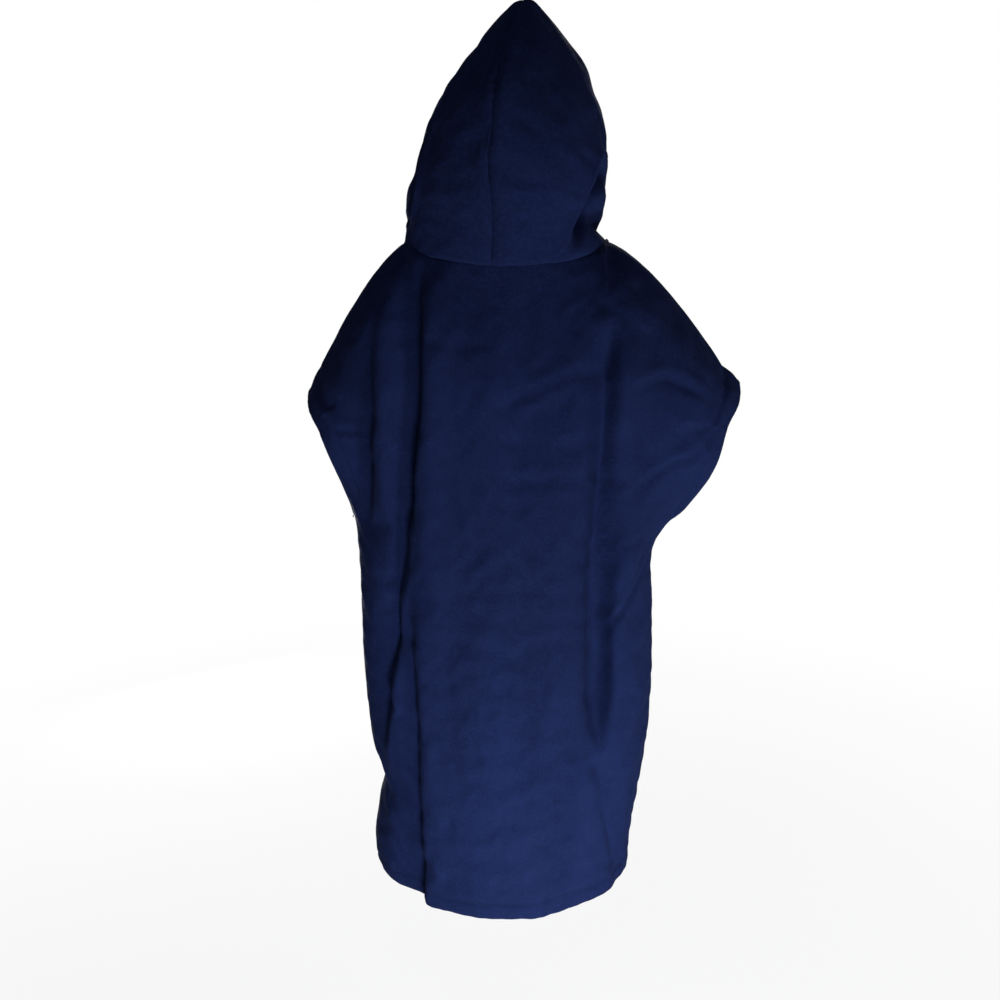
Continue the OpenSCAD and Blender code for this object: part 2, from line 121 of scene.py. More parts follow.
FRONT_CREASES = [
    ([(0.0, 0.150), (0.15, 0.129), (0.4, 0.095), (0.7, 0.084), (1.05, 0.089)],
     (0.01, 1.3), 0.0180, 0.010, 0.040, 0.0065, -1),
    ([(0.0, -0.156), (0.2, -0.150), (0.45, -0.135), (0.8, -0.109), (1.05, -0.098)],
     (0.01, 1.3), 0.0160, 0.0105, 0.042, 0.0060, 1),
    ([(0.0, 0.228), (0.2, 0.221), (0.35, 0.226), (0.46, 0.229)],
     (0.06, 0.46), 0.0080, 0.0095, 0.030, 0.0040, 1),
    ([(0.0, -0.250), (0.2, -0.253), (0.35, -0.252), (0.46, -0.233)],
     (0.06, 0.46), 0.0085, 0.0095, 0.030, 0.0040, 1),
    ([(0.3, -0.016), (0.6, -0.02), (1.05, -0.008)], (0.34, 1.3), 0.0055, 0.012, 0.040, 0.0020, 1),
    ([(0.5, 0.197), (0.75, 0.179), (1.05, 0.169)], (0.50, 1.3), 0.0060, 0.010, 0.034, 0.0030, 1),
    ([(0.5, -0.20), (0.75, -0.184), (1.05, -0.164)], (0.52, 1.3), 0.0055, 0.010, 0.034, 0.0030, 1),
]
# Shallow creases that run across: their line as (u, v) points, first and last u, depth and width
BACK_DRAGS = [
    ([(-0.45, 0.172), (-0.25, 0.174), (-0.10, 0.195), (0.10, 0.216)], (-0.44, 0.13), 0.0013, 0.012),
    ([(-0.05, 0.120), (0.43, 0.136), (0.70, 0.100)], (-0.02, 0.66), 0.0008, 0.012),
    ([(-0.70, 0.262), (-0.25, 0.277), (0.10, 0.264)], (-0.66, 0.10), 0.0012, 0.013),
    ([(-0.70, 0.330), (-0.25, 0.326), (0.10, 0.327)], (-0.68, 0.08), 0.0010, 0.013),
    ([(-0.95, 0.120), (-0.70, 0.150), (-0.50, 0.215)], (-0.93, -0.52), 0.0030, 0.012),
    ([(-0.97, 0.250), (-0.80, 0.290), (-0.60, 0.360)], (-0.95, -0.62), 0.0024, 0.013),
    ([(0.72, 0.250), (0.85, 0.220), (0.97, 0.170)], (0.74, 0.96), 0.0030, 0.011),
    ([(-0.90, 0.470), (-0.75, 0.520), (-0.55, 0.600)], (-0.92, -0.60), 0.0030, 0.014),
    ([(0.00, 0.640), (0.30, 0.600), (0.60, 0.545)], (0.10, 0.58), 0.0008, 0.016),
    ([(-0.40, 0.560), (0.00, 0.585), (0.40, 0.560)], (-0.42, 0.40), 0.0007, 0.018),
]
FRONT_DRAGS = [
    ([(-0.55, 0.120), (0.0, 0.175), (0.55, 0.125)], (-0.50, 0.50), 0.0030, 0.014),
    ([(-0.40, 0.210), (0.0, 0.262), (0.45, 0.215)], (-0.34, 0.40), 0.0028, 0.016),
    ([(-0.97, 0.250), (-0.80, 0.285), (-0.60, 0.350)], (-0.95, -0.62), 0.0032, 0.012),
    ([(0.60, 0.340), (0.80, 0.270), (0.97, 0.215)], (0.62, 0.95), 0.0032, 0.012),
    ([(-0.30, 0.520), (0.10, 0.545), (0.50, 0.520)], (-0.30, 0.46), 0.0018, 0.016),
]
# Ridges where the hood turns forward: their line as (p, a) points, first and last p, height, width, and the
# drop outside
HOOD_RIDGES = [
    ([(0.10, 0.40), (0.20, 0.36), (0.295, 0.307), (0.413, 0.27), (0.48, 0.23), (0.60, 0.17)],
     (0.10, 0.60), 0.0042, 0.0085, 0.0075),
    ([(0.05, -0.22), (0.105, -0.243), (0.18, -0.293), (0.285, -0.327), (0.458, -0.387), (0.56, -0.42)],
     (0.05, 0.58), 0.0055, 0.0080, 0.0230),
    ([(0.60, -0.50), (0.63, -0.43), (0.645, -0.36), (0.672, -0.313), (0.75, -0.20)],
     (0.58, 0.74), 0.0040, 0.0075, 0.0050),
]


def side_name(hand):
    return "left" if hand == LEFT else "right"


def face_name(face):
    return "back" if face == BACK else "front"


# ---------------------------------------------------------------- the surfaces
def mix(a, b, t):
    return a + (b - a) * t


def ease(t):
    c = np.clip(t, 0, 1)
    return c * c * (3 - 2 * c)


def bump(x, centre, width):
    return np.exp(-(((x - centre) / width) ** 2))


def between(x, first, last, rise, fall):
    """1 between first and last, easing in after first and out before last."""
    return ease((x - first) / rise) * (1 - ease((x - last + fall) / fall))


def unit(vectors):
    return vectors / np.maximum(np.linalg.norm(vectors, axis=-1, keepdims=True), 1e-12)


def distances(path):
    """How far along the path each of its points is."""
    return np.concatenate([[0], np.cumsum(np.linalg.norm(np.diff(path, axis=0), axis=1))])


def points(*parts):
    return np.stack(np.broadcast_arrays(*parts), -1)


def neck_point(angle):
    """The neck seam: angle 0 is the nape and 180 the throat."""
    c, s = np.cos(np.radians(angle)), np.sin(np.radians(angle))
    low = np.where(c > 0, NECK_BACK_DROP, NECK_FRONT_DROP)
    return points(
        NECK_HALF * s,
        c * np.where(c > 0, NECK_BACK, NECK_FRONT),
        -mix(NECK_SIDE_DROP, low, np.abs(c) ** 1.5),
    )


def top_point(face, u):
    angle = 90 * u / NECK_SHARE
    q = np.clip((np.abs(u) - NECK_SHARE) / (1 - NECK_SHARE), 0, 1)
    reach = np.where(u > 0, LEFT_REACH, RIGHT_REACH)
    neck = neck_point(angle if face == BACK else 180 - angle)
    tip = RIGHT_TIP_RISE * ease((q - 0.84) / 0.16) * (u < 0)
    fall = tip - mix(NECK_SIDE_DROP, CUFF_DROP, q**1.45)
    shoulder = points(np.sign(u) * mix(NECK_HALF, reach, q), 0, fall)
    return np.where((np.abs(u) <= NECK_SHARE)[..., None], neck, shoulder)


def row_half(hand, v):
    reach = np.where(hand > 0, LEFT_REACH, RIGHT_REACH)
    corner = np.where(hand > 0, LEFT_UNDERARM, RIGHT_UNDERARM)
    sleeve = mix(reach, corner, np.clip(v / UNDERARM_ROW, 0, 1) ** 1.1)
    fade = np.exp(-np.maximum(0, v - UNDERARM_ROW) / 0.035)
    skirt = mix(BODY_HALF, HEM_HALF, ease((v - 0.6) / 0.4)) + (corner - BODY_HALF) * fade
    return np.where(v < UNDERARM_ROW, sleeve, skirt)


def soft_half(hand, v):
    """The half width away from the side edge, where the step under the arm is spread over more rows."""
    return sum(row_half(hand, v + step) for step in (-0.09, -0.06, -0.03, 0, 0.03, 0.06, 0.09)) / 7


def side_shift(hand, v):
    """How far each side stands out. A fold that runs out of the left side pinches it in, and the right side
    is drawn in under the arm."""
    pinch = -0.015 * bump(v, 0.825, 0.035) + 0.016 * bump(v, 0.955, 0.055)
    slack = 0.012 * bump(v, 0.30, 0.10) * (v < UNDERARM_ROW)
    slack = slack - 0.016 * bump(v, 0.45, 0.060) + 0.009 * bump(v, 0.76, 0.13)
    return np.where(hand > 0, pinch, slack)


def cad_folds(face, u, v):
    depth = 0
    for place, width, share, first, last, drift in BACK_FOLDS if face == BACK else FRONT_FOLDS:
        rows = between(v, first, last, 0.12, 0.1)
        depth = depth + share * bump(u, place + drift * v, width) * rows
    return FOLD_DEPTH * (1 - np.abs(u) ** 8) * depth


def body_point(face, u, v):
    """The panel's surface, rounded over the corner where neck and shoulder meet."""
    u, v = np.broadcast_arrays(np.asarray(u, float), np.asarray(v, float))
    reach = 0.035 * bump(np.abs(u), NECK_SHARE, 0.06) * ease(v / 0.012) * (1 - ease((v - 0.12) / 0.1))
    return sum(
        weight * plain_body_point(face, u + step * reach, v)
        for step, weight in ((-1, 0.15), (-0.5, 0.2), (0, 0.3), (0.5, 0.2), (1, 0.15))
    )


def plain_body_point(face, u, v):
    top = top_point(face, u)
    deep, start = (BACK_DEPTH, NECK_BACK) if face == BACK else (FRONT_DEPTH, NECK_FRONT)
    middle = mix(start, deep, ease(v / 0.2)) + HEM_FLARE * ease((v - 0.35) / 0.65)
    round_hem = ease((v - 0.75) / 0.25)
    across = np.clip(1 - np.abs(u) ** mix(2.6, 2.1, round_hem), 0, 1) ** mix(1, 0.55, ease((v - 0.28) / 0.2))
    gap = np.where(v < UNDERARM_ROW, CUFF_OPEN * np.sin(np.pi * v / UNDERARM_ROW), 0)
    full = mix(gap, middle, across) - cad_folds(face, u, v)
    rounded = np.sqrt(np.clip(1 - (1 - np.clip(v / SHOULDER_ROWS, 0, 1)) ** 2, 0, 1))
    lift = np.maximum(0, 1 - v / UNDERARM_ROW) ** 1.3
    side_lift = SIDE_RISE * np.abs(u) ** 2.5 * ease((v - 0.8) / 0.2)
    half = mix(soft_half(np.sign(u), v), row_half(np.sign(u), v), np.abs(u) ** 6)
    return points(
        mix(top[..., 0], u * half, ease(v / TUCK_ROWS))
        + np.sign(u) * np.abs(u) ** 5 * side_shift(np.sign(u), v),
        face * np.maximum(SEAM_GAP, mix(np.abs(top[..., 1]), full, rounded)),
        top[..., 2] * lift - DROP * v + side_lift,
    )


def hood_point(a, p):
    a, p = np.broadcast_arrays(np.asarray(a, float), np.asarray(p, float))
    # the centre seam stays in line with the turned head right down to the neck
    a = a + 0.052 * ease(p / 0.02) * (1 - ease(p / 0.40)) * (1 - a**2) ** 2
    back, drop = NECK_BACK + NECK_FRONT, NECK_FRONT_DROP - NECK_BACK_DROP
    rise = np.sin(np.pi / 2 * np.clip(p / CROWN_AT, 0, 1)) ** 1.25
    fall = np.clip((p - CROWN_AT) / (1 - CROWN_AT), 0, 1) ** 1.6
    long = np.where(
        p < CROWN_AT, mix(math.hypot(back, drop), CROWN_REACH, rise), mix(CROWN_REACH, BROW_REACH, fall)
    )
    half = np.where(
        p < 0.5,
        NECK_HALF + 0.004 * np.sin(2 * np.pi * p) + (HOOD_HALF - NECK_HALF) * p / 0.5,
        mix(HOOD_HALF, FACE_HALF, ease((p - 0.5) / 0.6)),
    )

    def hoop(half, long, p):
        turn = np.pi * a
        share = ((1 - np.cos(turn)) / 2) ** mix(1, 0.8, ease(p / 0.4))
        tilt = mix(mix(math.degrees(math.atan2(drop, back)), FACE_TILT, p), FACE_TILT, share**4)
        r = mix(long, THROAT_R * p, share)
        tilt = np.radians(tilt)
        return points(half * np.sin(turn), r * np.cos(tilt) - NECK_FRONT, r * np.sin(tilt) - NECK_FRONT_DROP)

    neck = neck_point(180 * a)
    to_neck = neck - hoop(NECK_HALF, math.hypot(back, drop), 0 * p)
    q = hoop(half, long, p) + to_neck * (1 - ease(p))[..., None]
    up = q[..., 2] - neck[..., 2]
    turn = -np.radians(HEAD_TURN) * ease(up / 0.18)
    lean = CROWN_LEAN * (np.maximum(0, up) / CROWN_REACH) ** 1.2
    x, y = q[..., 0], q[..., 1]
    return points(x * np.cos(turn) - y * np.sin(turn) - lean, x * np.sin(turn) + y * np.cos(turn), q[..., 2])


# ---------------------------------------------------------------- relief of the real cloth
def swell(s, t, wide, tall, seed, waves=18):
    """Smooth, seeded unevenness from -1 to 1 with the given wavelengths."""
    rng = np.random.default_rng(seed)
    total = 0
    for _ in range(waves):
        angle, phase, size = rng.uniform(0, 2 * np.pi), rng.uniform(0, 2 * np.pi), rng.uniform(0.6, 1.5)
        total = total + np.cos(
            2 * np.pi * size * (s / wide * np.cos(angle) + t / tall * np.sin(angle)) + phase
        )
    return total / math.sqrt(waves / 2) / 1.6


def smooth_line(knots, x):
    """A rounded line through (x, y) points."""
    places, values = np.array(knots, float).T
    fine = np.linspace(places[0], places[-1], 400)
    line = np.interp(fine, places, values)
    weights = np.hanning(41)
    padded = np.pad(line, 20, mode="reflect", reflect_type="odd")
    return np.interp(x, fine, np.convolve(padded, weights / weights.sum(), "valid"))


def crease(face, x, v):
    """The sharp folds that hang down, each a narrow valley with a rounded lip beside it."""
    height = 0
    creases = BACK_CREASES if face == BACK else FRONT_CREASES
    for knots, (first, last), depth, sharp, broad, lip, side in creases:
        line = smooth_line(knots, v)
        off = side * np.sign(line) * (line - x)
        valley = bump(off, 0, np.where(off > 0, sharp, broad))
        ridge = bump(off, 3.0 * sharp, 2.2 * sharp)
        height = height + between(v, first, last, 0.08, 0.16) * (lip * ridge - depth * valley)
    return height


def drag(face, u, v):
    """The shallow creases that run across."""
    height = 0
    for knots, (first, last), depth, width in BACK_DRAGS if face == BACK else FRONT_DRAGS:
        off = (v - smooth_line(knots, u)) * DROP
        valley = bump(off, 0, width) - 0.55 * bump(off, -1.9 * width, 1.4 * width)
        height = height - depth * between(u, first, last, 0.12, 0.12) * valley
    return height


def body_relief(face, u, v, x):
    """How far the cloth stands out from the plain surface at x across, in metres."""
    s, t = u * 0.34, v * DROP
    seed = 10 if face == BACK else 20
    loose = ease((v - 0.03) / 0.12) * (1 - np.abs(u) ** 10)
    r = loose * (0.0030 * swell(s, t, 0.16, 0.55, seed) + 0.0009 * swell(s, t, 0.06, 0.14, seed + 1))
    r = r + 0.0002 * swell(s, t, 0.022, 0.03, seed + 2)
    away = 1 - np.abs(u) ** 14
    return r + away * (crease(face, x, v) + ease(v / 0.06) * drag(face, u, v))


def stitched_edge(past):
    """The groove of a stitch row and the soft roll past it, in metres past the row."""
    return 0.0011 * bump(past, 0.012, 0.007) - 0.0011 * bump(past, 0, 0.0028)


def seam_relief(u, v):
    """Grooves at the seams and the stitched hems, and the soft roll between them."""
    side = (1 - np.abs(u)) * 0.25
    groove = -0.0016 * bump(v * DROP, 0, 0.004) - 0.0016 * bump(side, 0, 0.003) * (v > UNDERARM_ROW)
    at_cuff = stitched_edge((np.abs(u) - CUFF_COLUMN) * 0.34) * (v < UNDERARM_ROW)
    return groove + stitched_edge((v - HEM_ROW) * DROP) + at_cuff


def normals(grid):
    """Unit normals of a grid of points, towards its right-hand side."""
    return unit(np.cross(np.gradient(grid, axis=1), np.gradient(grid, axis=0)))


def span(low, high, count):
    return np.linspace(low, high, count)


NECK_COLUMNS, OUTER_COLUMNS = 38, 62
half_us = np.concatenate(
    [
        span(0, NECK_SHARE, NECK_COLUMNS + 1),
        mix(NECK_SHARE, 1, np.sin(np.pi / 2 * span(0, 1, OUTER_COLUMNS + 1)[1:])),
    ]
)
BODY_US = np.concatenate([-half_us[:0:-1], half_us])
BODY_VS = np.concatenate(
    [
        UNDERARM_ROW * span(0, 1, 85) ** 1.6,
        span(UNDERARM_ROW, HEM_ROW, 120)[1:],
        span(HEM_ROW, 1, 10)[1:],
    ]
)
HOOD_AS = span(0.0004, 0.9985, 100)
HOOD_PS = np.concatenate([span(0, FACE_ROW, 96), span(FACE_ROW, 1, 10)[1:]])


def spread(places, x):
    """Weights that read a smooth curve through values at the given places, at each x."""
    where = np.interp(x, places, np.arange(len(places)))
    first = np.clip(np.floor(where).astype(int), 0, len(places) - 2)
    t = where - first
    weights = np.zeros((len(x), len(places)))
    shares = (
        -0.5 * t + t**2 - 0.5 * t**3,
        1 - 2.5 * t**2 + 1.5 * t**3,
        0.5 * t + 2 * t**2 - 1.5 * t**3,
        0.5 * (t**3 - t**2),
    )
    for k, share in enumerate(shares):
        column = np.clip(first + k - 1, 0, len(places) - 1)
        np.add.at(weights, (np.arange(len(x)), column), share)
    return weights


settled = {}  # panel name: (columns, rows, how far the simulated cloth moved there)


def settled_offset(name, us, vs):
    if name not in settled:
        return 0.0
    columns, rows, moved = settled[name]
    return np.einsum("ri,cj,ijk->rck", spread(rows, vs), spread(columns, us), moved, optimize=True)


def body_grid(face, us, vs, lift=0.0):
    """Points on the outside of a body panel with its relief, and the unit normals there."""
    u, v = us[None, :], vs[:, None]
    plain = body_point(face, u, v)
    out = normals(plain)
    if np.sum(out[..., 1]) * face < 0:
        out = -out
    raised = plain + out * (body_relief(face, u, v, plain[..., 0]) + seam_relief(u, v) + lift)[..., None]
    raised = raised + settled_offset(face_name(face), us, vs)
    raised[..., 1] = face * np.maximum(SEAM_GAP, face * raised[..., 1])
    return raised, out


# ---------------------------------------------------------------- meshes
def make_piece(name, verts, faces, cloth, material, piece_slot):
    mesh = bpy.data.meshes.new(name)
    mesh.from_pydata(np.asarray(verts, float).tolist(), [], faces)
    mesh.validate()
    mesh.shade_smooth()
    attribute = mesh.attributes.new("cloth", "FLOAT_VECTOR", "POINT")
    attribute.data.foreach_set("vector", np.asarray(cloth, np.float32).ravel())
    mesh.materials.append(material)
    piece = bpy.data.objects.new(name, mesh)
    bpy.context.scene.collection.objects.link(piece)
    return piece


def closed_sheet(outer, inner, soft):
    """Vertices, faces and rim cells of a closed sheet between two grids. soft says how round each edge is:
    first row, last row, first column, last column."""
    n, m = outer.shape[:2]
    verts = [outer.reshape(-1, 3), inner.reshape(-1, 3)]
    at = np.arange(n * m).reshape(n, m)
    low = at + n * m
    a, b, c, d = at[:-1, :-1], at[:-1, 1:], at[1:, 1:], at[1:, :-1]
    faces = [np.stack([a, b, c, d], -1).reshape(-1, 4)]
    a, b, c, d = low[:-1, :-1], low[:-1, 1:], low[1:, 1:], low[1:, :-1]
    faces.append(np.stack([a, d, c, b], -1).reshape(-1, 4))
    rim = [(0, j) for j in range(m - 1)] + [(i, m - 1) for i in range(n - 1)]
    rim += [(n - 1, j) for j in range(m - 1, 0, -1)] + [(i, 0) for i in range(n - 1, 0, -1)]
    rings = []
    for i, j in rim:
        o, w = outer[i, j], inner[i, j]
        away = np.zeros(3)
        if i in (0, n - 1):
            away += soft[0 if i == 0 else 1] * unit(o - outer[1 if i == 0 else n - 2, j])
        if j in (0, m - 1):
            away += soft[2 if j == 0 else 3] * unit(o - outer[i, 1 if j == 0 else m - 2])
        centre, half = (o + w) / 2, np.linalg.norm(o - w) / 2
        rings.append(
            [centre + (o - centre) * math.cos(x) + away * half * math.sin(x) for x in (0.8, 1.57, 2.34)]
        )
    rings = np.array(rings)
    start = 2 * n * m
    verts.append(rings.transpose(1, 0, 2).reshape(-1, 3))
    count = len(rim)
    ids = [
        np.array([at[i, j] for i, j in rim]),
        *[start + k * count + np.arange(count) for k in range(3)],
        np.array([low[i, j] for i, j in rim]),
    ]
    for upper, lower in zip(ids[:-1], ids[1:], strict=True):
        faces.append(np.stack([np.roll(upper, -1), upper, lower, np.roll(lower, -1)], -1))
    rim_cells = np.array([i * m + j for i, j in rim])
    return np.concatenate(verts), np.concatenate(faces), rim_cells


def sheet_piece(name, outer, inner, s, t, soft, material, piece_slot, seed):
    """A closed sheet with cloth coordinates s across and t down, in metres."""
    verts, faces, rim_cells = closed_sheet(outer, inner, soft)
    s, t = (np.broadcast_to(x, outer.shape[:2]).reshape(-1) for x in (s, t))
    flat = np.stack([s + 3.1 * seed, t, np.full(len(s), 0.37 * seed)], -1)
    under = flat - [0, 0, 0.004]
    rings = [flat[rim_cells] - [0, 0, 0.001 * k] for k in (1, 2, 3)]
    cloth = np.concatenate([flat, under, *rings])
    p = verts[faces[:, :3]]
    centre = verts.mean(0)
    facing = np.cross(p[:, 1] - p[:, 0], p[:, 2] - p[:, 0])
    if np.einsum("ij,ij->i", facing, p[:, 0] - centre).sum() < 0:
        faces = faces[:, ::-1]
    return make_piece(name, verts, faces.tolist(), cloth, material, piece_slot)


def resample(path, step):
    """Distances of evenly spaced points along a path, and the path's own."""
    along = distances(path)
    return along, np.arange(step, along[-1] - step, step)


def at_distance(along, values, d):
    return np.stack([np.interp(d, along, values[:, k]) for k in range(3)], -1)


def stitch_rows(name, rows, seed, pitch=0.0036, long=0.0029, radius=0.00042):
    """One piece of separate stitches. Each row is a path on the cloth and the normals along it."""
    rng = np.random.default_rng(seed)
    fractions = np.array([0, 0.10, 0.28, 0.5, 0.72, 0.90, 1])
    height = np.array([-1.4, -0.2, 0.6, 0.85, 0.6, -0.2, -1.4]) * radius
    size = np.array([0.35, 0.8, 1, 1, 1, 0.8, 0.35]) * radius
    sides = 8
    verts, faces, cloth, count = [], [], [], 0
    for path, out in rows:
        along, starts = resample(path, pitch)
        for k, start in enumerate(starts):
            d = start + (fractions - 0.5) * long * rng.uniform(0.93, 1.05)
            centre = at_distance(along, path, d)
            n = at_distance(along, out, d)
            tangent = unit(np.gradient(centre, axis=0))
            n = unit(n - tangent * np.sum(n * tangent, axis=1, keepdims=True))
            side = np.cross(tangent, n)
            centre = centre + n * height[:, None] + side * rng.normal(0, 0.00010)
            first = count
            for ring in range(len(fractions)):
                for q in range(sides):
                    turn = 2 * np.pi * q / sides
                    round_it = n[ring] * math.cos(turn) + side[ring] * math.sin(turn)
                    verts.append(centre[ring] + size[ring] * round_it)
                    cloth.append((d[ring], size[ring] * math.cos(turn), k % 7))
                    count += 1
            for ring in range(len(fractions) - 1):
                for q in range(sides):
                    a, b = first + ring * sides + q, first + ring * sides + (q + 1) % sides
                    faces.append((a, b, b + sides, a + sides))
            faces.append(tuple(first + q for q in reversed(range(sides))))
            last = first + (len(fractions) - 1) * sides
            faces.append(tuple(last + q for q in range(sides)))
    return make_piece(name, verts, faces, cloth, THREAD, "thread")


def tube(path, radius, sides=6):
    """Vertices, faces and lengthwise coordinates of a closed-ended tube along a path."""
    path = np.asarray(path, float)
    tangent = unit(np.gradient(path, axis=0))
    n = np.cross(tangent[0], [0.31, 0.52, 0.79])
    frames = []
    for t in tangent:
        n = unit(n - t * np.dot(n, t))
        frames.append((n, np.cross(t, n)))
    turn = 2 * np.pi * np.arange(sides) / sides
    rings = []
    for p, (a, b) in zip(path, frames, strict=True):
        rings.append(p + radius * (np.outer(np.cos(turn), a) + np.outer(np.sin(turn), b)))
    verts = np.concatenate(rings)
    faces = []
    for i in range(len(path) - 1):
        for q in range(sides):
            a, b = i * sides + q, i * sides + (q + 1) % sides
            faces.append((a, b, b + sides, a + sides))
    faces.append(tuple(reversed(range(sides))))
    faces.append(tuple((len(path) - 1) * sides + q for q in range(sides)))
    cloth = [(d, radius * math.cos(x), 0) for d in distances(path) for x in turn]
    return verts, faces, cloth


# ---------------------------------------------------------------- materials
class Shader:
    """A short way to write one material's nodes."""

    def __init__(self, name):
        self.material = bpy.data.materials.new(name)
        self.material.use_nodes = True
        self.tree = self.material.node_tree
        self.tree.nodes.clear()

    def add(self, kind, settings=None, **inputs):
        node = self.tree.nodes.new(kind)
        for key, value in (settings or {}).items():
            setattr(node, key, value)
        for key, value in inputs.items():
            numbered = key[0] == "_" and key[1:].isdigit()
            self.put(node, int(key[1:]) if numbered else key.replace("_", " "), value)
        return node

    def put(self, node, key, value):
        socket = node.inputs[key]
        if isinstance(value, bpy.types.NodeSocket):
            self.tree.links.new(value, socket)
        elif isinstance(value, bpy.types.Node):
            self.tree.links.new(value.outputs[0], socket)
        else:
            socket.default_value = value

    def cloth(self, scale=(1, 1, 1)):
        place = self.add("ShaderNodeAttribute", {"attribute_name": "cloth"})
        return self.add("ShaderNodeMapping", Vector=place.outputs["Vector"], Scale=scale)

    def noise(self, place, scale, detail=3.0, rough=0.55, **more):
        return self.add(
            "ShaderNodeTexNoise", Vector=place, Scale=scale, Detail=detail, Roughness=rough, **more
        )

    def wave(self, bands, place, scale, distortion, **more):
        node = self.add(
            "ShaderNodeTexWave", {"bands_direction": bands}, Vector=place, Scale=scale,
            Distortion=distortion, **more,
        )
        return node.outputs["Fac"]

    def ramp(self, value, low, high, a=(0, 0, 0, 1), b=(1, 1, 1, 1)):
        node = self.add("ShaderNodeMapRange", {"interpolation_type": "SMOOTHSTEP"}, Value=value)
        node.inputs["From Min"].default_value, node.inputs["From Max"].default_value = low, high
        return self.blend(node, a, b) if a != (0, 0, 0, 1) or b != (1, 1, 1, 1) else node

    def blend(self, factor, a, b, mode="MIX"):
        node = self.add("ShaderNodeMix", {"data_type": "RGBA", "blend_type": mode})
        self.put(node, 0, factor)
        self.put(node, 6, a)
        self.put(node, 7, b)
        return node.outputs[2]

    def math(self, operation, a, b=0.0):
        return self.add("ShaderNodeMath", {"operation": operation}, _0=a, _1=b)

    def bump(self, height, strength, distance, normal=None):
        node = self.add("ShaderNodeBump", Strength=strength, Distance=distance, Height=height)
        if normal is not None:
            self.put(node, "Normal", normal)
        return node

    def cloth_surface(self, colour, normal, rough, specular, sheen, sheen_rough, **more):
        return self.finish(self.add(
            "ShaderNodeBsdfPrincipled", Base_Color=colour, Normal=normal, Roughness=rough,
            Specular_IOR_Level=specular, Sheen_Weight=sheen, Sheen_Roughness=sheen_rough, **more,
        ))

    def finish(self, shader):
        self.add("ShaderNodeOutputMaterial", Surface=shader)
        return self.material


def rgb(r, g, b):
    """A colour given in sRGB from 0 to 255."""
    return (*(((c / 255 + 0.055) / 1.055) ** 2.4 if c > 10 else c / 255 / 12.92 for c in (r, g, b)), 1)


def fleece(name, dark, plain, light, nap=1.0):
    """Brushed fleece: a soft nap with stroked patches, a faint knit under it and a velvet sheen."""
    m = Shader(name)
    flat = m.cloth()
    strokes = m.cloth((1, 0.35, 1))
    patches = m.noise(strokes, 6.0, 2.0, 0.5, Distortion=0.2)
    mottle = m.noise(flat, 75.0, 2.0, 0.5, Distortion=0.1)
    fibres = m.noise(m.cloth((1, 0.45, 1)), 620.0, 3.0, 0.7)
    pile = m.noise(flat, 200.0, 3.0, 0.65)
    colour = m.blend(m.ramp(patches, 0.10, 0.90), dark, plain)
    colour = m.blend(m.math("MULTIPLY", m.ramp(mottle, 0.35, 0.80), 0.09), colour, light)
    colour = m.blend(m.math("MULTIPLY", m.ramp(pile, 0.42, 0.72), 0.34), colour, light)
    colour = m.blend(m.math("MULTIPLY", m.ramp(fibres, 0.50, 0.75), 0.30), colour, light)
    height = m.math("ADD", m.math("MULTIPLY", fibres, 0.5), m.math("MULTIPLY", pile, 0.9))
    soft = m.bump(mottle, 0.04 * nap, 0.0025)
    fine = m.bump(height, 0.55 * nap, 0.0011, soft)
    return m.cloth_surface(colour, fine, 0.92, 0.02, 0.02, 0.42, Sheen_Tint=rgb(120, 140, 215))


def yarn(name, dark, light):
    """Twisted sewing thread."""
    m = Shader(name)
    twist = m.wave("DIAGONAL", m.cloth((1, 1.6, 0)), 420.0, 0.6, Detail=1.0)
    shade = m.noise(m.cloth(), 90.0, 2.0)
    colour = m.blend(twist, dark, light)
    colour = m.blend(m.math("MULTIPLY", shade, 0.35), colour, light)
    return m.cloth_surface(colour, m.bump(twist, 0.5, 0.0002), 0.62, 0.12, 0.04, 0.4)


def woven(name, dark, light, threads, rough, sheen):
    """Flat woven tape or ribbon: warp and weft that pass over each other."""
    m = Shader(name)
    warp = m.wave("X", m.cloth(), threads, 0.15)
    weft = m.wave("Y", m.cloth(), threads * 0.8, 0.15)
    twill = m.wave("DIAGONAL", m.cloth(), threads * 0.5, 0.3)
    height = m.math("ADD", m.math("MULTIPLY", warp, weft), m.math("MULTIPLY", twill, 0.7))
    shade = m.noise(m.cloth(), 130.0, 3.0)
    colour = m.blend(m.ramp(height, 0.1, 1.1), dark, light)
    colour = m.blend(m.math("MULTIPLY", shade, 0.25), colour, light)
    return m.cloth_surface(colour, m.bump(height, 0.5, 0.0002), rough, 0.35, sheen, 0.5)


NAVY = fleece("navy_fleece", rgb(14, 20, 44), rgb(18, 26, 56), rgb(27, 39, 78))
NAVY_HEM = fleece("navy_fleece_turned", rgb(12, 18, 39), rgb(16, 23, 50), rgb(24, 35, 70), nap=0.8)
THREAD = yarn("navy_thread", rgb(10, 15, 40), rgb(22, 31, 70))
TAPE = woven("navy_twill_tape", rgb(10, 12, 30), rgb(30, 34, 66), 260.0, 0.7, 0.15)
SATIN = woven("white_satin_ribbon", rgb(206, 205, 198), rgb(238, 237, 231), 420.0, 0.38, 0.1)


# ---------------------------------------------------------------- the pieces
def sewn(piece, node=None, on_hood=False):
    """The piece stays with the body, or on the hood has its transform baked into its mesh, and may stand for
    a node of the CAD part.
    """
    if on_hood:
        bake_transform(piece)
    else:
        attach(piece, "root")
    if node:
        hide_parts(node)
    return piece


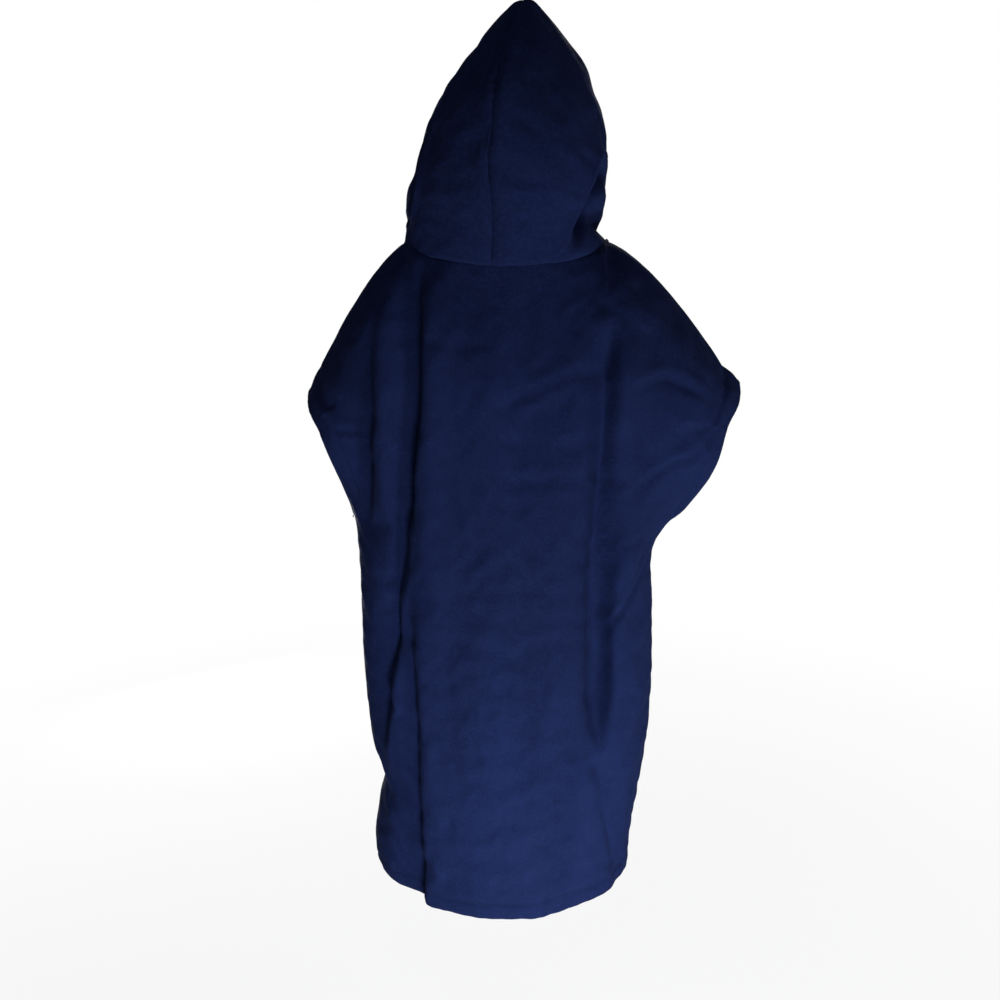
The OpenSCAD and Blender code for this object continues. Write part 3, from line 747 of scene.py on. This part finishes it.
def body_panel(face):
    outer, out = body_grid(face, BODY_US, BODY_VS)
    edge = ease((BODY_VS[:, None] - (1 - 0.0045 / DROP)) / (0.004 / DROP))
    cuff_edge = ease((np.abs(BODY_US)[None, :] - 0.987) / 0.012) * (BODY_VS[:, None] < UNDERARM_ROW - 0.015)
    thick = CLOTH_T + 0.0040 * np.maximum(edge, cuff_edge)
    inner = outer - out * thick[..., None]
    inner[..., 1] = face * np.maximum(SEAM_GAP, face * inner[..., 1])
    s, t = BODY_US[None, :] * FLAT_ACROSS, BODY_VS[:, None] * FLAT_DOWN
    name = face_name(face)
    seed = 1 if face == BACK else 2
    piece = sheet_piece(name + "_fleece", outer, inner, s, t, (0.0, 1.0, 0.5, 0.5), NAVY, "fleece", seed)
    return sewn(piece, name + "_panel")


def hood_relief(a, p):
    s, t = a * 0.30, p * 0.45
    loose = ease(p / 0.12) * (1 - ease((p - 0.9) / 0.1) * 0.7)
    r = loose * (0.0022 * swell(s, t, 0.14, 0.22, 31) + 0.0011 * swell(s, t, 0.05, 0.07, 32))
    for knots, (first, last), height, width, drop in HOOD_RIDGES:
        line = smooth_line(knots, p)
        off = (np.abs(a) - np.abs(line)) * 0.34
        off = np.where(a * line < 0, -1.0, off)
        rows = between(p, first, last, 0.1, 0.1)
        shelf = ease((off + width / 2) / (1.6 * width)) * np.exp(-(np.maximum(off, 0) / 0.05))
        hollow = bump(off, 2 * width, 1.3 * width)
        r = r + rows * (height * bump(off, 0, width) - drop * (0.6 * shelf + 0.7 * hollow))
    # the right side of the hood goes in at the neck and stands out above it
    right_side = 0.006 * bump(p, 0.50, 0.14) - 0.024 * bump(p, 0.17, 0.10) * ease(p / 0.05)
    r = r + bump(a, -0.50, 0.19) * right_side + 0.007 * bump(a, 0.46, 0.18) * bump(p, 0.36, 0.13)
    # a small pinched tip, and a slight hollow to the left of it
    r = r + 0.006 * bump(a, -0.02, 0.05) * bump(p, 0.79, 0.035)
    r = r - 0.004 * bump(a, 0.16, 0.10) * bump(p, 0.68, 0.08)
    r = r + 0.0002 * swell(s, t, 0.022, 0.03, 33)
    seam = np.abs(a) * 0.31
    pucker = 1 + 0.35 * np.sin(p * 0.45 * 2 * np.pi / 0.011)
    pulled = bump(p, 0.68, 0.04) + bump(p, 0.47, 0.05) + 0.8 * bump(p, 0.30, 0.06)
    r = r - (0.0022 + 0.0026 * pulled) * bump(seam, 0, 0.0042) * pucker
    r = r + 0.0008 * bump(seam, 0.009, 0.007) * pucker
    return r + stitched_edge((p - FACE_ROW) * 0.40)


def hood_grid(as_, ps, lift=0.0):
    a, p = as_[None, :], ps[:, None]
    plain = hood_point(a, p)
    # the bottom of the hood is a soft roll that hangs over the neck seam
    back = ease((0.66 - np.abs(a)) / 0.25)
    roll = back * p / 0.035 * np.exp(1 - p / 0.035)
    ring = neck_point(180 * a)
    away = unit(ring * [1, 1, 0])
    plain = plain + away * (0.0085 * roll)[..., None] - np.array([0, 0, 0.0135]) * roll[..., None]
    out = normals(plain)
    centre = np.array([0, -0.02, 0.12])
    if np.sum(out * (plain - centre)) < 0:
        out = -out
    return plain + out * (hood_relief(a, p) + lift)[..., None] + settled_offset("hood", as_, ps), out


def hood_panel(hand):
    outer, out = hood_grid(hand * HOOD_AS, HOOD_PS)
    edge = ease((HOOD_PS[:, None] - (1 - 0.0045 / 0.4)) / (0.004 / 0.4))
    inner = outer - out * (CLOTH_T + 0.0040 * edge)[..., None]
    s, t = hand * HOOD_AS[None, :] * HOOD_FLAT_ACROSS, HOOD_PS[:, None] * HOOD_FLAT_DOWN
    name = "hood_" + side_name(hand)
    seed = 3 if hand == LEFT else 4
    piece = sheet_piece(name + "_fleece", outer, inner, s, -t, (0.0, 1.0, 0.3, 0.0), NAVY, "fleece", seed)
    return sewn(piece, name + "_panel", on_hood=True)


UNDER = CLOTH_T + 0.0007


def turned_layer(grid, out):
    """The outer and inner side of a turned-in hem, which touches the cloth over it."""
    first = UNDER - 0.0005
    return grid - out * first, grid - out * (first + 0.0032)


def bottom_hem(face):
    us = BODY_US[(BODY_US > -0.985) & (BODY_US < 0.985)]
    vs = span(HEM_ROW - 0.002, 1 - 0.0048 / DROP, 12)
    name = face_name(face) + "_hem"
    piece = sheet_piece(
        name + "_turn", *turned_layer(*body_grid(face, us, vs)), us[None, :] * FLAT_ACROSS,
        -vs[:, None] * FLAT_DOWN, (0.9, 0.3, 0.3, 0.3), NAVY_HEM, "fleece_inside", 5,
    )
    return sewn(piece, name)


def cuff_hem(hand):
    vs = BODY_VS[(BODY_VS > 0.02) & (BODY_VS < UNDERARM_ROW - 0.012)]
    us = hand * span(CUFF_COLUMN - 0.006, 0.986, 12)
    node = side_name(hand) + "_cuff_hem"
    for face in (BACK, FRONT):
        layers = turned_layer(*body_grid(face, us, vs))
        for layer in layers:
            layer[..., 1] = face * np.maximum(0.0008, face * layer[..., 1])
        piece = sheet_piece(
            f"{node}_turn_{face_name(face)}", *layers, us[None, :] * FLAT_ACROSS, -vs[:, None] * FLAT_DOWN,
            (0.6, 0.6, 0.9, 0.3), NAVY_HEM, "fleece_inside", 6 if face == BACK else 7,
        )
        sewn(piece, node if face == BACK else None)


def face_hem():
    ps = span(FACE_ROW - 0.006, 1 - 0.0048 / 0.4, 12)
    made = []
    for hand in (LEFT, RIGHT):
        as_ = hand * span(0.03, 0.965, 90)
        piece = sheet_piece(
            f"hood_face_hem_turn_{side_name(hand)}", *turned_layer(*hood_grid(as_, ps)),
            as_[None, :] * HOOD_FLAT_ACROSS, ps[:, None] * HOOD_FLAT_DOWN, (0.9, 0.3, 0.3, 0.3), NAVY_HEM,
            "fleece_inside", 8,
        )
        made.append(sewn(piece, "hood_face_hem" if hand == LEFT else None, on_hood=True))
    return made


def row_on_body(face, us, v, lift=0.0002):
    vs = np.array([v - 0.001, v, v + 0.001])
    grid, out = body_grid(face, us, vs, lift)
    return grid[1], out[1]


def bottom_topstitch(face):
    row = row_on_body(face, span(-0.98, 0.98, 500), HEM_ROW)
    name = face_name(face) + "_hem"
    return sewn(stitch_rows(name + "_stitches", [row], seed=3), name + "_topstitch")


def cuff_topstitch(hand):
    rows = []
    for face in (BACK, FRONT):
        vs = span(0.012, UNDERARM_ROW - 0.02, 260)
        us = hand * np.array([CUFF_COLUMN - 0.002, CUFF_COLUMN, CUFF_COLUMN + 0.002])
        grid, out = body_grid(face, us, vs, 0.0002)
        rows.append((grid[:, 1], out[:, 1]))
    name = side_name(hand) + "_cuff"
    sewn(stitch_rows(name + "_stitches", rows, seed=4), name + "_topstitch")


def neck_topstitch():
    rows = [row_on_body(face, span(-0.455, 0.455, 400), 0.0042) for face in (BACK, FRONT)]
    sewn(stitch_rows("neck_stitches", rows, seed=5), "neck_topstitch")


def face_topstitch():
    rows = []
    for hand in (LEFT, RIGHT):
        as_ = hand * span(0.006, 0.96, 300)
        grid, out = hood_grid(as_, np.array([FACE_ROW - 0.002, FACE_ROW, FACE_ROW + 0.002]), 0.0002)
        rows.append((grid[1], out[1]))
    sewn(stitch_rows("hood_face_stitches", rows, seed=6), "hood_face_topstitch", on_hood=True)


def overlocked_ridge(root_line, edge_line, thick, pitch=0.0042, radius=0.00035):
    """Loops of overlock thread round the free edge of a seam allowance."""
    along, starts = resample(root_line, pitch)
    path = []
    across = unit(np.cross(np.gradient(root_line, axis=0), edge_line - root_line))
    for k, d in enumerate(starts):
        r, e, n = (at_distance(along, x, np.array([d]))[0] for x in (root_line, edge_line, across))
        lean = at_distance(along, root_line, np.array([d + pitch / 2]))[0] - r
        half = thick / 2 + radius
        path += [mix(r, e, 0.25) + n * half, mix(r, e, 0.98) + n * half * 0.9, mix(r, e, 1.06)]
        path += [mix(r, e, 0.98) - n * half * 0.9 + lean, mix(r, e, 0.25) - n * half + lean]
    return tube(path, radius, 5)


def seam_allowance(name, middle, out, thick, deep, down, seed, on_hood=False):
    """A strip out to either side of its middle, and the overlock thread round its free edge."""
    strip = sheet_piece(
        name + "_allowance", middle + out, middle - out, deep[None, :], down[:, None],
        (0.8, 0.8, 0.3, 0.9), NAVY_HEM, "fleece_inside", seed,
    )
    loops = overlocked_ridge(middle[:, 1], middle[:, 3], thick)
    thread = make_piece(name + "_overlock", *loops, THREAD, "thread")
    sewn(strip, name, on_hood)
    sewn(thread, None, on_hood)


def side_seam(hand):
    vs = span(UNDERARM_ROW + 0.012, HEM_ROW - 0.006, 150)
    wave = 0.0009 * np.sin(vs * DROP * 2 * np.pi / 0.045) + 0.0006 * np.sin(vs * DROP * 2 * np.pi / 0.021)
    z = SIDE_RISE * ease((vs - 0.8) / 0.2) - DROP * vs
    edge = row_half(hand, vs) + side_shift(hand, vs)
    deep = np.array([0.0055, 0.009, 0.012, 0.0148])
    share = np.ones(len(vs))
    if hand == LEFT:
        # the allowance is narrower beside the care label, so that the label turns clear of it
        low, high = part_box("care_label")
        beside = ease((z - low.z + 0.020) / 0.012) * (1 - ease((z - high.z - 0.008) / 0.012))
        room = edge - high.x - LABEL_CLEAR
        share = mix(1, np.minimum(1, room / deep[-1]), beside)
    x = hand * (edge[:, None] - deep * share[:, None])
    y = wave[:, None] * (deep[None, :] - 0.004) / 0.01
    out = np.array([0, 1.0, 0]) * 0.0026
    name = side_name(hand) + "_side_seam"
    seam_allowance(name, points(x, y, z[:, None]), out, 0.0052, deep, vs * FLAT_DOWN, 9)


def centre_seam():
    ps = span(0.045, FACE_ROW - 0.02, 120)
    line = hood_point(0, ps)
    along = np.gradient(line, axis=0)
    inward = unit(np.cross([1.0, 0, 0], along))
    if np.sum(inward * (np.array([0, -0.02, 0.1]) - line)) < 0:
        inward = -inward
    wave = 0.0007 * np.sin(ps * 0.5 * 2 * np.pi / 0.035)
    deep = np.array([0.0062, 0.010, 0.0135, 0.0168])
    middle = line[:, None] + inward[:, None] * deep[None, :, None]
    middle[..., 0] += wave[:, None] * (deep - 0.006) / 0.01
    out = np.array([1.0, 0, 0]) * 0.0021
    seam_allowance("hood_centre_seam", middle, out, 0.0042, deep, ps * 0.5, 10, on_hood=True)


def shoulder_tape(hand):
    us = hand * span(NECK_SHARE + 0.02, CUFF_COLUMN - 0.025, 70)
    line = top_point(BACK, us)
    step = top_point(BACK, us + 0.002 * hand) - line
    out = unit(np.stack([-step[:, 2] * hand, 0 * us, step[:, 0] * hand], -1))
    width = span(-0.006, 0.006, 7)
    wave = 0.0003 * np.sin(us * 90)
    middle = line[:, None] - out[:, None] * (UNDER + 0.0031 + wave)[:, None, None]
    middle = middle + points(0 * width, width, 0 * width)[None]
    half = out[:, None] * TAPE_T / 2 * 0.7
    name = side_name(hand) + "_shoulder"
    piece = sheet_piece(
        name + "_twill", middle + half, middle - half, width[None, :], us[:, None] * 0.36,
        (0.5, 0.5, 0.6, 0.6), TAPE, "tape", 11,
    )
    sewn(piece, name + "_tape")


def neck_tape():
    """A closed band, made as one strip whose ends meet at the throat."""
    angles = span(-180, 180, 241)
    q = neck_point(angles)
    r = np.hypot(q[:, 0], q[:, 1])
    rows = span(-0.001, -0.013, 7)
    wave = 0.0003 * np.sin(np.radians(angles) * 23)

    def ring(inset):
        k = (1 - (inset + wave) / r)[:, None]
        x, y, z = q[:, 0, None], q[:, 1, None], q[:, 2, None]
        return points(x * k + 0 * rows, y * k + 0 * rows, z + rows)

    piece = sheet_piece(
        "neck_twill", ring(UNDER + 0.0001), ring(UNDER + TAPE_T - 0.0001), rows[None, :],
        np.radians(angles)[:, None] * 0.13, (0.0, 0.0, 0.6, 0.6), TAPE, "tape", 12,
    )
    sewn(piece, "neck_tape")


def underarm_bartack(hand):
    """A short dense bar of thread over the side seam, just under the sleeve."""
    v = UNDERARM_ROW + 0.006
    x = hand * (row_half(hand, v) + side_shift(hand, v) + 0.0012)
    z = -DROP * v
    rng = np.random.default_rng(7)
    path = []
    for k in range(19):
        y, turn = mix(-0.0035, 0.0035, k / 18), -1 if k % 2 else 1
        for share in (-1, -0.6, 0, 0.6, 1):
            round_off = 0.0009 * share**4
            path.append((x - hand * round_off, y, z + turn * share * (0.0017 + rng.normal(0, 0.00006))))
    name = side_name(hand) + "_underarm"
    sewn(make_piece(name + "_stitches", *tube(path, 0.00030, 6), THREAD, "thread"), name + "_bartack")


def hanger_loop():
    """A tape bent into a loop in one plane, with its two ends sewn at the nape."""
    y, top = 0.0907, -NECK_BACK_DROP - 0.004
    half, arm = (LOOP_W - LOOP_TAPE) / 2, LOOP_H - LOOP_W / 2
    path = [(-half, y, top - arm * k / 12) for k in range(12)]
    path += [(-half * math.cos(x), y, top - arm - half * math.sin(x)) for x in span(0, math.pi, 41)]
    path += [(half, y, top - arm * (11 - k) / 12) for k in range(12)]
    path = np.array(path)
    path[:, 1] += 0.0006 * np.sin((path[:, 0] + path[:, 2]) * 160)
    along = unit(np.gradient(path, axis=0))
    across = unit(np.cross(along, [0, 1.0, 0]))
    out = unit(np.cross(along, across))[:, None] * LOOP_T / 2
    place = span(-0.5, 0.5, 9) * (LOOP_TAPE - LOOP_T)
    middle = path[:, None] + across[:, None] * place[None, :, None]
    piece = sheet_piece(
        "hanger_loop_twill", middle + out, middle - out, place[None, :], distances(path)[:, None],
        (0.3, 0.3, 1, 1), TAPE, "tape", 13,
    )
    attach(piece, "loop")
    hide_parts("hanger_loop")
    rows = []
    for hand in (-1, 1):
        for dz in (0.0022, 0.0052):
            line = points(hand * half + span(-0.0028, 0.0028, 12), y - 0.0009, top - dz)
            rows.append((line, np.tile([0, -1.0, 0], (12, 1))))
    stitches = stitch_rows("hanger_loop_stitches", rows, seed=8, pitch=0.0011, long=0.001, radius=0.00022)
    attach(stitches, "loop")


def care_label():
    low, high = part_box("care_label")
    xs = span(0, 1, 25)
    zs = span(low.z, high.z, 41)
    curl = 0.0035 * xs[:, None] ** 2 * np.cos((zs[None, :] - low.z) / LABEL_H * np.pi)
    curl = curl + 0.0012 * np.sin(xs[:, None] * 4 + zs[None, :] * 60) * xs[:, None]
    middle = points(high.x - (high.x - low.x) * xs[:, None], curl, zs[None, :] + 0 * xs[:, None])
    out = np.array([0, 0.00022, 0])
    piece = sheet_piece(
        "care_label_satin", middle + out, middle - out, xs[:, None] * LABEL_W, zs[None, :],
        (0.2, 0.6, 0.4, 0.4), SATIN, "label", 14,
    )
    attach(piece, "label")
    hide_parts("care_label")


# ---------------------------------------------------------------- cloth simulation
MOST_MOVED = 0.014
FRAMES = 24


def cloth_object(name, grid, hold):
    """A single-layer cloth object on a grid. hold says how firmly each point stays where it was put."""
    n, m = grid.shape[:2]
    at = np.arange(n * m).reshape(n, m)
    faces = np.stack([at[:-1, :-1], at[:-1, 1:], at[1:, 1:], at[1:, :-1]], -1).reshape(-1, 4)
    mesh = bpy.data.meshes.new(name)
    mesh.from_pydata(grid.reshape(-1, 3).tolist(), [], faces.tolist())
    piece = bpy.data.objects.new(name, mesh)
    bpy.context.scene.collection.objects.link(piece)
    group = piece.vertex_groups.new(name="hold")
    for index, weight in enumerate(hold.reshape(-1)):
        group.add([index], float(weight), "REPLACE")
    cloth = piece.modifiers.new("cloth", "CLOTH")
    fleece_cloth = cloth.settings
    fleece_cloth.quality = 6
    fleece_cloth.mass = 0.10
    fleece_cloth.tension_stiffness = fleece_cloth.compression_stiffness = 12
    fleece_cloth.shear_stiffness = 6
    fleece_cloth.bending_stiffness = 0.4
    fleece_cloth.shrink_min = -0.05
    fleece_cloth.vertex_group_mass = "hold"
    fleece_cloth.pin_stiffness = 0.05
    cloth.point_cache.frame_start, cloth.point_cache.frame_end = 1, FRAMES
    return piece


def blurred(values):
    """Values averaged a little with their neighbours in the grid."""
    for axis in (0, 1):
        padded = np.pad(values, [(1, 1) if k == axis else (0, 0) for k in range(3)], mode="edge")
        before, after = (np.take(padded, range(k, k + values.shape[axis]), axis) for k in (0, 2))
        values = (before + 2 * values + after) / 4
    return values


def settle():
    """Let the cloth hang and wrinkle for a moment, with a little more of it than the shape needs."""
    columns, rows = BODY_US[::2], span(0, 1, 121)
    u, v = columns[None, :], rows[:, None]
    firm = np.maximum(np.exp(-(v / 0.05)), np.exp(-((1 - np.abs(u)) / 0.05)))
    firm = np.maximum(firm, 0.75 * np.exp(-((1 - v) / 0.03)))
    hold = 0.4 + 0.6 * np.clip(firm, 0, 1)
    hold[0] = hold[:, 0] = hold[:, -1] = 1
    grids = {}
    for face in (BACK, FRONT):
        grids[face_name(face)] = (columns, rows, body_grid(face, columns, rows)[0], hold)
    around, up = span(-0.9985, 0.9985, 111), span(0, 1, 71)
    a, p = around[None, :], up[:, None]
    firm = np.maximum(np.exp(-(p / 0.08)), 0.8 * np.exp(-(np.abs(a) / 0.02)) + 0 * p)
    firm = np.maximum(firm, np.exp(-((1 - p) / 0.05)))
    hold = 0.4 + 0.6 * np.clip(firm, 0, 1)
    hold[0] = hold[-1] = hold[:, 0] = hold[:, -1] = 1
    grids["hood"] = (around, up, hood_grid(around, up)[0], hold)
    pieces = {}
    for name, (_, _, grid, hold) in grids.items():
        pieces[name] = cloth_object("simulated_" + name, grid, hold)
    for frame_number in range(1, FRAMES + 1):
        bpy.context.scene.frame_set(frame_number)
    view = bpy.context.evaluated_depsgraph_get()
    for name, piece in pieces.items():
        columns, rows, grid, hold = grids[name]
        mesh = piece.evaluated_get(view).data
        places = np.empty(len(mesh.vertices) * 3, np.float32)
        mesh.vertices.foreach_get("co", places)
        moved = blurred(places.reshape(grid.shape).astype(float) - grid)
        far = np.linalg.norm(moved, axis=-1, keepdims=True)
        share = 0.5 if name == "hood" else 0.9
        moved *= np.tanh(far / MOST_MOVED) * MOST_MOVED / np.maximum(far, 1e-9) * share
        settled[name] = (columns, rows, moved * (1 - ease((hold - 0.86) / 0.14))[..., None])
    bpy.context.scene.frame_set(1)
    for piece in pieces.values():
        mesh = piece.data
        bpy.data.objects.remove(piece)
        bpy.data.meshes.remove(mesh)


settle()

# ---------------------------------------------------------------- all the pieces
back, front = body_panel(BACK), body_panel(FRONT)
hood_left, hood_right = hood_panel(LEFT), hood_panel(RIGHT)
hems = {face: bottom_hem(face) for face in (BACK, FRONT)}
cuff_hem(LEFT)
cuff_hem(RIGHT)
face_hems = face_hem()
hem_rows = {face: bottom_topstitch(face) for face in (BACK, FRONT)}
cuff_topstitch(LEFT)
cuff_topstitch(RIGHT)
neck_topstitch()
face_topstitch()
side_seam(LEFT)
side_seam(RIGHT)
centre_seam()
shoulder_tape(LEFT)
shoulder_tape(RIGHT)
neck_tape()
underarm_bartack(LEFT)
underarm_bartack(RIGHT)
hanger_loop()
care_label()


# ---------------------------------------------------------------- stage, light and camera
BACKDROP = 1.0
FLOOR_SIZE, FLOOR_LEVEL = 60, -1.385
LENS, CAMERA_PLACE, CAMERA_DOWN = 43.8, (0.0115, 2.0, 0.065), 14.35


def stage():
    """A pale floor that fades into the white surroundings away from the garment."""
    mesh = bpy.data.meshes.new("floor")
    corners = [(x * FLOOR_SIZE, y * FLOOR_SIZE, FLOOR_LEVEL) for x, y in ((-1, -1), (1, -1), (1, 1), (-1, 1))]
    mesh.from_pydata(corners, [], [(0, 1, 2, 3)])
    m = Shader("pale_floor")
    place = m.add("ShaderNodeTexCoord").outputs["Object"]
    far = m.add("ShaderNodeVectorMath", {"operation": "LENGTH"}, _0=place).outputs["Value"]
    grain = m.noise(place, 90.0, 3.0)
    pale = m.blend(grain.outputs["Fac"], (0.84, 0.84, 0.84, 1), (0.88, 0.88, 0.88, 1))
    body = m.add("ShaderNodeBsdfDiffuse", Color=pale, Roughness=0.5)
    glow = m.add("ShaderNodeEmission", Color=(1, 1, 1, 1), Strength=BACKDROP)
    fade = m.add("ShaderNodeMapRange", {"interpolation_type": "SMOOTHSTEP"}, Value=far)
    fade.inputs["From Min"].default_value, fade.inputs["From Max"].default_value = 1.4, 2.6
    fade.inputs["To Min"].default_value, fade.inputs["To Max"].default_value = 0.86, 1.0
    seen = m.math("MULTIPLY", fade, m.add("ShaderNodeLightPath").outputs["Is Camera Ray"])
    mesh.materials.append(m.finish(m.add("ShaderNodeMixShader", _0=seen, _1=body, _2=glow)))
    floor = bpy.data.objects.new("floor", mesh)
    bpy.context.scene.collection.objects.link(floor)


def area_light(name, place, target, size, power, colour=(1, 1, 1)):
    light = bpy.data.lights.new(name, "AREA")
    light.shape, light.size, light.size_y = "RECTANGLE", size, size
    light.energy, light.color = power, colour
    lamp = bpy.data.objects.new(name, light)
    lamp.location = place
    lamp.rotation_mode = "QUATERNION"
    lamp.rotation_quaternion = (Vector(target) - Vector(place)).to_track_quat("-Z", "Y")
    lamp.visible_camera = False
    bpy.context.scene.collection.objects.link(lamp)


def studio():
    world = bpy.data.worlds.new("studio")
    bpy.context.scene.world = world
    world.use_nodes = True
    tree = world.node_tree
    tree.nodes.clear()
    out = tree.nodes.new("ShaderNodeOutputWorld")
    blend = tree.nodes.new("ShaderNodeMixShader")
    seen, lit = tree.nodes.new("ShaderNodeBackground"), tree.nodes.new("ShaderNodeBackground")
    seen.inputs[0].default_value, seen.inputs[1].default_value = (1, 1, 1, 1), BACKDROP
    lit.inputs[0].default_value, lit.inputs[1].default_value = (0.94, 0.96, 1, 1), 0.09
    ray = tree.nodes.new("ShaderNodeLightPath")
    tree.links.new(ray.outputs["Is Camera Ray"], blend.inputs[0])
    tree.links.new(lit.outputs[0], blend.inputs[1])
    tree.links.new(seen.outputs[0], blend.inputs[2])
    tree.links.new(blend.outputs[0], out.inputs[0])
    area_light("key", (-1.00, 1.25, -1.25), (0.0, 0.1, -0.95), 0.30, 18, (0.95, 0.99, 1.06))
    area_light("low", (-0.12, 1.15, -1.35), (0.10, 0.1, -1.05), 0.3, 31, (0.93, 0.99, 1.08))
    area_light("above", (0.3, 1.1, 1.5), (0, 0, 0.25), 0.6, 4)
    area_light("front_key", (1.0, -1.6, -0.9), (0, 0, -0.6), 0.4, 26)
    area_light("front_above", (-0.5, -1.8, 0.8), (0, 0, -0.1), 0.6, 16)
    area_light("left_side", (1.9, -0.3, -0.3), (0, 0, -0.4), 0.8, 4)
    area_light("right_side", (-1.9, -0.3, -0.3), (0, 0, -0.4), 0.8, 8)


def camera():
    data = bpy.data.cameras.new("camera")
    data.sensor_width, data.lens = 36, LENS
    data.clip_start, data.clip_end = 0.05, 100
    cam = bpy.data.objects.new("camera", data)
    cam.location = CAMERA_PLACE
    cam.rotation_euler = (math.radians(90 - CAMERA_DOWN), 0, math.radians(180))
    bpy.context.scene.collection.objects.link(cam)
    bpy.context.scene.camera = cam


stage()
studio()
camera()
bpy.context.scene.view_settings.view_transform = "Standard"
